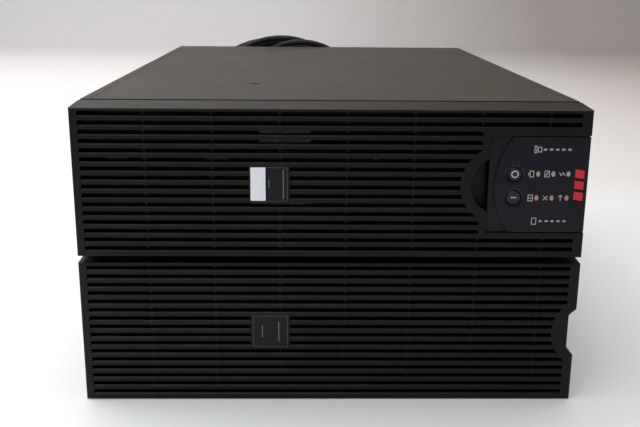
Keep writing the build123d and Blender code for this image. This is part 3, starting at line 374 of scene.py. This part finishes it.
# ---- mesh helpers ------------------------------------------------------------------------
def piece(name, sculpt, body, slot, *materials):
    """A new object from a sculpted mesh, which rides on a body."""
    mesh = bpy.data.meshes.new(name)
    bmesh.ops.recalc_face_normals(sculpt, faces=sculpt.faces)
    sculpt.to_mesh(mesh)
    sculpt.free()
    made = bpy.data.objects.new(name, mesh)
    bpy.context.scene.collection.objects.link(made)
    for material in materials:
        mesh.materials.append(material)
    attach(made, body)
    return made


def strand(name, runs, radius, body, material, around=3, along=4):
    """Round cable: each run of points steers one smooth spline."""
    curve = bpy.data.curves.new(name, "CURVE")
    curve.dimensions = "3D"
    curve.bevel_depth = radius
    curve.bevel_resolution = around
    curve.resolution_u = along
    curve.use_fill_caps = True
    for run in runs:
        spline = curve.splines.new("NURBS")
        spline.points.add(len(run) - 1)
        for point, place in zip(spline.points, run):
            point.co = (*place, 1.0)
        spline.order_u = 3
        spline.use_endpoint_u = True
    made = bpy.data.objects.new(name, curve)
    bpy.context.scene.collection.objects.link(made)
    curve.materials.append(material)
    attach(made, body)
    return made


def add_prism(sculpt, outline, y_front, y_back):
    """A thin shape facing the front: outline and y in metres, closed on every side."""
    rings = []
    for y in (y_front, y_back):
        rings.append([sculpt.verts.new((x, y, z)) for x, z in outline])
    count = len(outline)
    sculpt.faces.new(rings[0])
    sculpt.faces.new(list(reversed(rings[1])))
    for index in range(count):
        after = (index + 1) % count
        sculpt.faces.new((rings[0][index], rings[1][index], rings[1][after], rings[0][after]))


def add_ring(sculpt, rings):
    """A closed ring skinned round loops with the same number of points."""
    grid = [[sculpt.verts.new(place) for place in ring] for ring in rings]
    for current, following in zip(grid, grid[1:] + grid[:1]):
        for index in range(len(current)):
            after = (index + 1) % len(current)
            sculpt.faces.new((current[index], current[after], following[after], following[index]))


def add_band(sculpt, outer, inner, y_front, y_back):
    """A closed band between two outlines with the same number of points."""
    rings = []
    for outline, y in ((outer, y_front), (inner, y_front), (inner, y_back), (outer, y_back)):
        rings.append([(x, y, z) for x, z in outline])
    add_ring(sculpt, rings)


def circle(x, z, radius_x, radius_z=None, count=40):
    """Outline of a circle, or of an ellipse with a second radius."""
    radius_z = radius_z or radius_x
    turn = 2 * pi / count
    return [(x + radius_x * cos(turn * i), z + radius_z * sin(turn * i)) for i in range(count)]


def rectangle(x, z, width, height):
    """Outline of a rectangle round its centre."""
    return [
        (x - width / 2, z - height / 2),
        (x + width / 2, z - height / 2),
        (x + width / 2, z + height / 2),
        (x - width / 2, z + height / 2),
    ]


def stroke(x0, z0, x1, z1, width):
    """Outline of a straight printed line."""
    along = Vector((x1 - x0, z1 - z0)).normalized()
    side = Vector((-along.y, along.x)) * width / 2
    return [
        (x0 + side.x, z0 + side.y),
        (x1 + side.x, z1 + side.y),
        (x1 - side.x, z1 - side.y),
        (x0 - side.x, z0 - side.y),
    ]


def add_block(sculpt, low, high):
    """A box between two corners."""
    corners = [(low.x, low.z), (high.x, low.z), (high.x, high.z), (low.x, high.z)]
    add_prism(sculpt, corners, low.y, high.y)


# ---- stage, camera and light -------------------------------------------------------------
def stage():
    """Pale floor that turns up into a far wall, with painted shade: darker to the right, away from
    the light at the left, and darker behind, where a dim wall close behind the object is painted
    onto the floor.
    """
    floor_start = -5.0
    wall_y = 4.6
    bend = 0.8
    wall_height = 4.0
    half_width = 6.0
    under_feet = 0.0002
    bend_steps = 12
    profile = [(floor_start, 0.0), (wall_y - bend, 0.0)]
    for step in range(1, bend_steps + 1):
        angle = step / bend_steps * pi / 2
        profile.append((wall_y - bend + bend * sin(angle), bend * (1 - cos(angle))))
    profile.append((wall_y, wall_height))
    mesh = bpy.data.meshes.new("studio")
    verts = []
    for y, z in profile:
        verts += [(-half_width, y, z - under_feet), (half_width, y, z - under_feet)]
    faces = [(2 * i, 2 * i + 1, 2 * i + 3, 2 * i + 2) for i in range(len(profile) - 1)]
    mesh.from_pydata(verts, [], faces)
    for face in mesh.polygons:
        face.use_smooth = True
    backdrop = bpy.data.objects.new("studio", mesh)
    bpy.context.scene.collection.objects.link(backdrop)
    graph = Graph("studio_paper")
    cloud = graph.noise(2.0, 3.0)
    split = graph.nodes.new("ShaderNodeSeparateXYZ")
    graph.links.new(graph.place, split.inputs["Vector"])
    # Painted shade: the right-hand tones are darker because the light falls from the left, and the
    # far tones paint a dim wall's shade onto the floor behind the object.
    floor_tones = (0.84, 0.85, 0.865), (0.87, 0.88, 0.89)
    floor_right_shaded = (0.56, 0.55, 0.53)
    back_left_shaded = (0.80, 0.78, 0.78)
    back_right_shaded = (0.56, 0.51, 0.48)
    near = graph.blend(graph.remap(cloud, 0.0, 1.0), *floor_tones)
    shade_to_right = graph.remap(split.outputs["X"], 0.0, 1.0, -0.1, 1.4)
    near = graph.blend(shade_to_right, near, floor_right_shaded)
    far = graph.blend(shade_to_right, back_left_shaded, back_right_shaded)
    shade_behind = graph.remap(split.outputs["Y"], 0.0, 1.0, 0.34, 0.58)
    graph.colour(graph.blend(shade_behind, near, far))
    graph.rough(graph.remap(cloud, 0.55, 0.65))
    graph.fixed(specular=0.25)
    backdrop.data.materials.append(graph.material)


def camera():
    """The viewing angle: a little above the lid, nearly square to the front."""
    view = bpy.data.cameras.new("camera")
    view.sensor_width = 36.0
    view.lens = 48.8
    place = Vector((-0.0219, FRONT - 0.708, 0.3618))
    holder = bpy.data.objects.new("camera", view)
    pitch, yaw, roll = 0.2618, 0.0176, 0.0081
    base = Matrix(((1, 0, 0), (0, 0, -1), (0, 1, 0)))
    tip = Matrix(((1, 0, 0), (0, cos(pitch), -sin(pitch)), (0, sin(pitch), cos(pitch))))
    swing = Matrix(((cos(yaw), 0, -sin(yaw)), (0, 1, 0), (sin(yaw), 0, cos(yaw))))
    lean = Matrix(((cos(roll), -sin(roll), 0), (sin(roll), cos(roll), 0), (0, 0, 1)))
    look = lean @ tip @ swing @ base
    axes = Matrix((look[0], -look[1], -look[2])).transposed()
    holder.matrix_world = Matrix.Translation(place) @ axes.to_4x4()
    bpy.context.scene.collection.objects.link(holder)
    bpy.context.scene.camera = holder


def area_light(name, place, target, size, watts, colour):
    data = bpy.data.lights.new(name, "AREA")
    data.shape = "RECTANGLE"
    data.size, data.size_y = size
    data.energy = watts
    data.color = colour
    lamp = bpy.data.objects.new(name, data)
    lamp.location = place
    aim = Vector(target) - Vector(place)
    lamp.rotation_euler = aim.to_track_quat("-Z", "Y").to_euler()
    bpy.context.scene.collection.objects.link(lamp)


def lighting():
    """A broad ceiling light behind the object, a weak window at the left, a weak front fill."""
    world = bpy.data.worlds.new("room")
    world.use_nodes = True
    background = world.node_tree.nodes["Background"]
    background.inputs["Color"].default_value = (0.93, 0.96, 1.0, 1.0)
    background.inputs["Strength"].default_value = 0.2
    bpy.context.scene.world = world
    area_light(
        "ceiling",
        place=(-0.8, 0.9, 2.6),
        target=(-0.3, 0.6, 0),
        size=(4.0, 5.0),
        watts=150.0,
        colour=(1.0, 0.985, 0.965),
    )
    area_light(
        "window",
        place=(-2.8, -0.1, 1.5),
        target=(0, 0.1, 0.1),
        size=(2.0, 1.6),
        watts=17.0,
        colour=(0.94, 0.975, 1.0),
    )
    area_light(
        "front_fill",
        place=(-0.6, -1.5, 2.0),
        target=(0, -0.7, 0.0),
        size=(1.6, 0.8),
        watts=13.0,
        colour=(0.95, 0.97, 1.0),
    )


# ---- mains cord ----------------------------------------------------------------------------
CORD = 10 * MM
ON_FLOOR = CORD / 2
INLET = middle_of("mains_inlet")
RELIEF_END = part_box("mains_connector")[1].y
COIL_X = -60 * MM
COIL_FRONT = REAR + 61.2 * MM
LEAN = radians(13.0)
LEAD_Y = COIL_FRONT + 25.6 * MM
TAIL_X = COIL_X - 52 * MM
TAIL_Y = COIL_FRONT + 6.4 * MM

# The coil: counts, sizes between the strands' centres, and where the turns change place,
# counted in turns from the lead.
TURNS = 4
TURN_POINTS = 24
LAYER = 10.5 * MM
REAR_LAYER = 26.5 * MM
HALF_WIDTH = 124 * MM
HALF_HEIGHT = 137 * MM
STEPS_FORWARD = ((1.70, 1.80), (2.77, 2.87), (3.64, 3.77))
NEST_IN = (0.86, 0.97)
NEST_OUT = (1.84, 1.97)
LAST_TURN = (2.87, 3.0)


def lead_points():
    """From the connector, down to the floor and along it to the coil."""
    x, y, z = INLET.x, RELIEF_END, INLET.z
    return [
        (x, y, z),
        (x, y + 32 * MM, z),
        (x, y + 60 * MM, z - 16 * MM),
        (x - 1 * MM, y + 75 * MM, z - 45 * MM),
        (x - 4 * MM, y + 77 * MM, z - 84 * MM),
        (x - 14 * MM, y + 73 * MM, z - 122 * MM),
        (x - 38 * MM, y + 65 * MM, z - 154 * MM),
        (x - 72 * MM, y + 57 * MM, z - 176 * MM),
        (x - 106 * MM, LEAD_Y + 10 * MM, ON_FLOOR),
        (x - 134 * MM, LEAD_Y, ON_FLOOR),
        (COIL_X + 62 * MM, LEAD_Y, ON_FLOOR),
    ]


def tail_points():
    """Out of the coil along the floor, into the plug's relief."""
    return [
        (TAIL_X + 24 * MM, COIL_FRONT - 5 * MM, ON_FLOOR),
        (TAIL_X, COIL_FRONT - 4 * MM, ON_FLOOR),
        (TAIL_X - 22 * MM, TAIL_Y - 3 * MM, ON_FLOOR),
        (TAIL_X - 42 * MM, TAIL_Y + 5 * MM, ON_FLOOR + 2 * MM),
    ]


def leaning(across, up, out):
    """A place in the coil's leaning plane: across, along the lean, out from its front face."""
    return (
        COIL_X + across,
        COIL_FRONT - up * sin(LEAN) + out * cos(LEAN),
        max(ON_FLOOR, up * cos(LEAN) + out * sin(LEAN)),
    )


def ease(turn, start, end):
    """0 before start, 1 after end, and smooth between them."""
    share = min(1.0, max(0.0, (turn - start) / (end - start)))
    return share * share * (3 - 2 * share)


def coil_points():
    """Four standing turns: the second lies inside the first, the others step forward."""
    points = []
    for step in range(TURNS * TURN_POINTS):
        turn = (step + 0.5) / TURN_POINTS
        angle = 2 * pi * turn
        forward = sum(ease(turn, *span) for span in STEPS_FORWARD)
        layer = REAR_LAYER - LAYER * forward
        middle = ease(turn, *NEST_OUT)
        nested = LAYER * (ease(turn, *NEST_IN) - middle)
        last = ease(turn, *LAST_TURN)
        tip = radians(-6.0 + 6.0 * middle + 9.5 * last)
        wide = HALF_WIDTH - nested - 12 * MM * last
        tall = HALF_HEIGHT - nested + 1.9 * MM * middle - 1.5 * MM * last
        across = -wide * sin(angle)
        up = nested + tall * (1 - cos(angle))
        foot = (ON_FLOOR - layer * sin(LEAN)) / cos(LEAN)
        side = across * cos(tip) + up * sin(tip)
        height = up * cos(tip) - across * sin(tip)
        points.append(leaning(side, height + foot, layer))
    return points


def mains_cord(band):
    """The whole cord as one smooth spline, from the connector through the coil towards the plug.
    """
    points = lead_points() + coil_points() + tail_points()
    rubber_look = LOOKS["cord_rubber"]
    lead = strand(
        "mains_lead", [points], CORD / 2, "cases", rubber_look, around=6, along=8
    )
    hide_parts("mains_cord", "mains_cord_coil")


def strand_crossings(height):
    """Where the coil's left-hand strands cross a height, in the coil's leaning plane."""
    crossings = []
    left_side = COIL_X - 60 * MM
    places = [Vector(point) for point in coil_points()]
    for first, second in zip(places, places[1:]):
        if first.x < left_side and first.z < height <= second.z:
            place = first.lerp(second, (height - first.z) / (second.z - first.z))
            drop = place - Vector((COIL_X, COIL_FRONT, 0.0))
            crossings.append((drop.x, drop.y * cos(LEAN) + drop.z * sin(LEAN)))
    return crossings


def cord_band():
    """Hook-and-loop strap pulled round the four strands at the coil's left side."""
    height = 138 * MM
    inside = 6.2 * MM
    outside = 7.5 * MM
    half = 9 * MM
    steps = 72
    centres = strand_crossings(height)
    up = height / cos(LEAN)
    rings = []
    for radius, rise in ((inside, half), (outside, half), (outside, -half), (inside, -half)):
        ring = []
        for step in range(steps):
            angle = 2 * pi * step / steps
            aim = Vector((cos(angle), sin(angle)))
            centre = max(centres, key=lambda place: Vector(place).dot(aim))
            ring.append(leaning(centre[0] + aim.x * radius, up + rise, centre[1] + aim.y * radius))
        rings.append(ring)
    sculpt = bmesh.new()
    add_ring(sculpt, rings)
    band = piece("cord_band", sculpt, "cases", "tie_fabric", LOOKS["tie_fabric"])
    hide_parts("cord_tie")
    return band


# ---- display details -----------------------------------------------------------------------
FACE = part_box("display_housing")[0].y
BUTTON_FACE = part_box("off_button")[0].y
OFF = middle_of("off_button")
ON = middle_of("on_button")
INK = 0.04 * MM
STATUS_X = (173.3 * MM, 186.1 * MM, 198.8 * MM)
STATUS_Z = (207.0 * MM, 186.3 * MM)
BAR_X = 177.9 * MM
BAR_PITCH = 5.1 * MM
BAR_COUNT = 5
BAR_Z = (227.8 * MM, 166.0 * MM)
LENS_HALF = 1.75 * MM
STATUS_HALF_HEIGHT = 2.5 * MM
BAR_HALF_HEIGHT = 1.0 * MM
LENS_POINTS = 24
DOME = ((1.0, 0.31), (0.96, 0.20), (0.82, 0.11), (0.55, 0.035), (0.25, 0.0))
PLAIN, GREEN, ROSE = 0, 1, 2


def lamp_dome(sculpt, x, z, half_height, y_back, material=PLAIN):
    """A lens with a rounded face and straight sides down into the housing."""
    back = circle(x, z, LENS_HALF, half_height, LENS_POINTS)
    rings = [[sculpt.verts.new((px, y_back, pz)) for px, pz in back]]
    for share, depth in DOME:
        ring = circle(x, z, LENS_HALF * share, half_height * share, LENS_POINTS)
        rings.append([sculpt.verts.new((px, FACE + depth * MM, pz)) for px, pz in ring])
    faces = [sculpt.faces.new(rings[0]), sculpt.faces.new(list(reversed(rings[-1])))]
    for lower, upper in zip(rings, rings[1:]):
        for index in range(LENS_POINTS):
            after = (index + 1) % LENS_POINTS
            ends = (lower[index], lower[after], upper[after], upper[index])
            faces.append(sculpt.faces.new(ends))
    for face in faces:
        face.material_index = material
        face.smooth = True


def lamps():
    """Unlit lenses: one green and two pale, a row of three rose, two rows of small bars."""
    plain = LOOKS["lamp_clear"]
    status_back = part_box("status_lamps")[1].y
    sculpt = bmesh.new()
    upper_row = (GREEN, PLAIN, PLAIN)
    lower_row = (ROSE, ROSE, ROSE)
    for z, tints in zip(STATUS_Z, (upper_row, lower_row)):
        for x, tint in zip(STATUS_X, tints):
            lamp_dome(sculpt, x, z, STATUS_HALF_HEIGHT, status_back, tint)
    status = piece("status_lenses", sculpt, "display", "lamp_clear", plain, LAMP_GREEN, LAMP_ROSE)
    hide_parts("status_lamps")
    bar_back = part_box("bar_lamps")[1].y
    sculpt = bmesh.new()
    for z in BAR_Z:
        for index in range(BAR_COUNT):
            lamp_dome(sculpt, BAR_X + index * BAR_PITCH, z, BAR_HALF_HEIGHT, bar_back)
    bars = piece("bar_lenses", sculpt, "display", "lamp_clear", plain)
    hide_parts("bar_lamps")


def frame_sign(sculpt, x, z, width, height, line):
    add_band(
        sculpt,
        rectangle(x, z, width, height),
        rectangle(x, z, width - 2 * line, height - 2 * line),
        FACE - INK,
        FACE + INK,
    )


def line_sign(sculpt, x0, z0, x1, z1, line):
    add_prism(sculpt, stroke(x0, z0, x1, z1, line), FACE - INK, FACE + INK)


def printed_signs():
    """Generic picture signs beside the lamps and on the buttons."""
    sculpt = bmesh.new()
    line = 0.55 * MM
    sign_step = 5.4 * MM
    upper, lower = STATUS_Z
    left, middle, right = (x - sign_step for x in STATUS_X)
    tall = 5.6 * MM
    wide = 3.6 * MM
    # Upper row: a battery with its pole, a crossed box, a wave.
    pole = left - 2.6 * MM
    frame_sign(sculpt, left, upper, wide, tall, line)
    line_sign(sculpt, pole, upper - 1.2 * MM, pole, upper + 1.2 * MM, line)
    frame_sign(sculpt, middle, upper, wide + 0.6 * MM, tall, line)
    line_sign(sculpt, middle - 1.3 * MM, upper - 2 * MM, middle + 1.3 * MM, upper + 2 * MM, line)
    for stretch in range(3):
        start = right - 2.4 * MM + stretch * 1.6 * MM
        swing = 1.5 * MM if stretch % 2 else -1.5 * MM
        line_sign(sculpt, start, upper - swing, start + 1.6 * MM, upper + swing, line)
    # Lower row: a split box, a cross, an arrow.
    frame_sign(sculpt, left, lower, wide + 0.8 * MM, tall, line)
    line_sign(sculpt, left - 1.6 * MM, lower, left + 1.6 * MM, lower, line)
    reach = 1.9 * MM
    line_sign(sculpt, middle - reach, lower - reach, middle + reach, lower + reach, line)
    line_sign(sculpt, middle - reach, lower + reach, middle + reach, lower - reach, line)
    barb = lower + 0.8 * MM
    tip = lower + 2.6 * MM
    line_sign(sculpt, right, lower - 2.6 * MM, right, lower + 2.4 * MM, line)
    line_sign(sculpt, right - 1.6 * MM, barb, right, tip, line)
    line_sign(sculpt, right + 1.6 * MM, barb, right, tip, line)
    # Beside the bar lamps: two boxes side by side above, one box below.
    high_row, low_row = BAR_Z
    frame_sign(sculpt, 173.2 * MM, high_row, 3.4 * MM, 4.6 * MM, line)
    frame_sign(sculpt, 169.8 * MM, high_row, 2.2 * MM, 6.2 * MM, line)
    frame_sign(sculpt, 172.2 * MM, low_row, 4.3 * MM, 6.0 * MM, line)
    piece("display_signs", sculpt, "display", "label_white", PRINT_GREY)
    off_sign = bmesh.new()
    outer = circle(OFF.x, OFF.z, 3.2 * MM)
    inner = circle(OFF.x, OFF.z, 2.2 * MM)
    add_band(off_sign, outer, inner, BUTTON_FACE - INK, BUTTON_FACE + INK)
    piece("off_sign", off_sign, "off_button", "label_white", PRINT_GREY)
    on_sign = bmesh.new()
    bar = stroke(ON.x - 2.4 * MM, ON.z, ON.x + 2.4 * MM, ON.z, 0.9 * MM)
    add_prism(on_sign, bar, BUTTON_FACE - INK, BUTTON_FACE + INK)
    piece("on_sign", on_sign, "on_button", "label_white", PRINT_GREY)


def emblem_marks():
    """Three plain slanted bars in place of the maker's letters."""
    low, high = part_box("emblem_inlay")
    count = 3
    pitch = (high.z - low.z) / count
    slant = 1.2 * MM
    bar_height = pitch - 2.6 * MM
    sculpt = bmesh.new()
    for index in range(count):
        z = low.z + index * pitch + 0.6 * MM
        outline = [
            (low.x, z + slant),
            (high.x, z),
            (high.x, z + bar_height),
            (low.x, z + bar_height + slant),
        ]
        add_prism(sculpt, outline, low.y, high.y)
    bars = piece("emblem_bars", sculpt, "display", "emblem_red", LOOKS["emblem_red"])
    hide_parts("emblem_inlay")


# Each line's place across and up from the badge's middle, its length and its width, in mm.
BADGE_LINES = (
    ("ups_badge", "ups_bezel", ((11.6, 0.0, 25.0, 0.9), (-0.4, 0.6, 7.0, 0.7))),
    ("pack_badge", "pack_bezel", ((7.3, 0.0, 18.0, 0.9), (-7.1, 0.0, 11.0, 0.9))),
)


def badge_marks():
    """Fine upright lines on the two badges, with a thin frame, in place of their words."""
    margin = 2.4 * MM
    frame_line = 0.5 * MM
    for node, body, lines in BADGE_LINES:
        low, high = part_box(node)
        x = (low.x + high.x) / 2
        z = (low.z + high.z) / 2
        y = low.y
        sculpt = bmesh.new()
        for across, up, length, width in lines:
            mark = rectangle(x + across * MM, z + up * MM, width * MM, length * MM)
            add_prism(sculpt, mark, y - 0.05 * MM, y + 0.05 * MM)
        wide = high.x - low.x - margin
        tall = high.z - low.z - margin
        outer = rectangle(x, z, wide, tall)
        inner = rectangle(x, z, wide - frame_line, tall - frame_line)
        add_band(sculpt, outer, inner, y - 0.03 * MM, y + 0.05 * MM)
        piece(node + "_marks", sculpt, body, "label_white", PRINT_DIM)


# ---- battery modules -----------------------------------------------------------------------
# Body, tray and blocks, each block's size across and along in mm, and the number of rows.
MODULES = (
    ("ups_module_left", "ups_tray_left", "ups_blocks_left", 70, 90, 4),
    ("ups_module_right", "ups_tray_right", "ups_blocks_right", 70, 90, 4),
    ("pack_module_left", "pack_tray_left", "pack_blocks_left", 90, 70, 8),
    ("pack_module_right", "pack_tray_right", "pack_blocks_right", 90, 70, 8),
)
COLUMNS = 2
GAP = 0.5 * MM
SHEET = 1 * MM
TERMINAL = 6 * MM


def block_label(sculpt, x, y, width, depth, top):
    low = Vector((x + 9 * MM, y + 18 * MM, top - 0.1 * MM))
    high = Vector((x + width - 9 * MM, y + depth - 12 * MM, top + 0.15 * MM))
    add_block(sculpt, low, high)


def link_run(x, y, depth, top):
    """From one block's terminal over its lid to the next block's."""
    return [
        (x, y + 8.5 * MM, top + 4 * MM),
        (x, y + 20 * MM, top + 5 * MM),
        (x, y + depth * 0.6, top + 3.4 * MM),
        (x, y + depth + 8 * MM, top + 4 * MM),
    ]


def pull_strap(name, low, high, body):
    """Flat strap down the tray's front, sewn down at both ends."""
    middle = (low.x + high.x) / 2
    front = low.y
    half = 12 * MM
    sculpt = bmesh.new()
    add_block(
        sculpt,
        Vector((middle - half, front - 1.4 * MM, low.z + 34 * MM)),
        Vector((middle + half, front, low.z + 86 * MM)),
    )
    for z in (low.z + 40 * MM, low.z + 80 * MM):
        seam = rectangle(middle, z, 20 * MM, 3 * MM)
        add_prism(sculpt, seam, front - 2.0 * MM, front - 1.2 * MM)
    piece(name, sculpt, body, "tie_fabric", LOOKS["tie_fabric"])


def battery_details():
    """Blank labels, link leads and a pull strap on every battery module."""
    inset = 12 * MM
    for body, tray, blocks, width_mm, depth_mm, rows in MODULES:
        low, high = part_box(tray)
        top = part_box(blocks)[1].z - TERMINAL
        width = width_mm * MM
        depth = depth_mm * MM
        labels = bmesh.new()
        links = []
        for column in range(COLUMNS):
            x = low.x + SHEET + GAP + column * (width + GAP)
            for row in range(rows):
                y = low.y + SHEET + GAP + row * (depth + GAP)
                block_label(labels, x, y, width, depth, top)
                if row < rows - 1:
                    link_x = x + (inset if row % 2 else width - inset)
                    links.append(link_run(link_x, y, depth, top))
        piece(body + "_labels", labels, body, "battery_case", BATTERY_LABEL)
        strand(body + "_links", links, 1.6 * MM, body, LEAD_RED)
        pull_strap(body + "_strap", low, high, body)


# ---- blank labels --------------------------------------------------------------------------
# Each label's middle across and up, its width and its height, in mm.
REAR_LABELS = ((-61, 146, 70, 12), (-150, 146, 60, 12), (-60, 108, 90, 16))
DOOR_LABELS = ((-39.7, 234, 44.5, 17), (-33, 169, 34, 9))


def blank_labels(name, labels, body, y_front, y_back):
    sculpt = bmesh.new()
    for x, z, width, height in labels:
        add_prism(sculpt, rectangle(x * MM, z * MM, width * MM, height * MM), y_front, y_back)
    piece(name, sculpt, body, "label_white", PRINT_GREY)


def door_labels():
    """Pale labels on the upper battery door, glimpsed between the bars."""
    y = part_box("ups_battery_door")[0].y
    blank_labels("door_labels", DOOR_LABELS, "ups_battery_door", y - 0.15 * MM, y + 0.05 * MM)


def rear_labels():
    """Blank rating labels on the two rear panels."""
    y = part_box("ups_rear_panel")[1].y
    blank_labels("rear_labels", REAR_LABELS, "cases", y - 0.05 * MM, y + 0.12 * MM)


# ---- make everything -----------------------------------------------------------------------
camera()
mains_cord(cord_band())
stage()
lighting()
dress_nodes()
lamps()
printed_signs()
emblem_marks()
badge_marks()
door_labels()
battery_details()
rear_labels()

bpy.context.scene.view_settings.view_transform = "Standard"
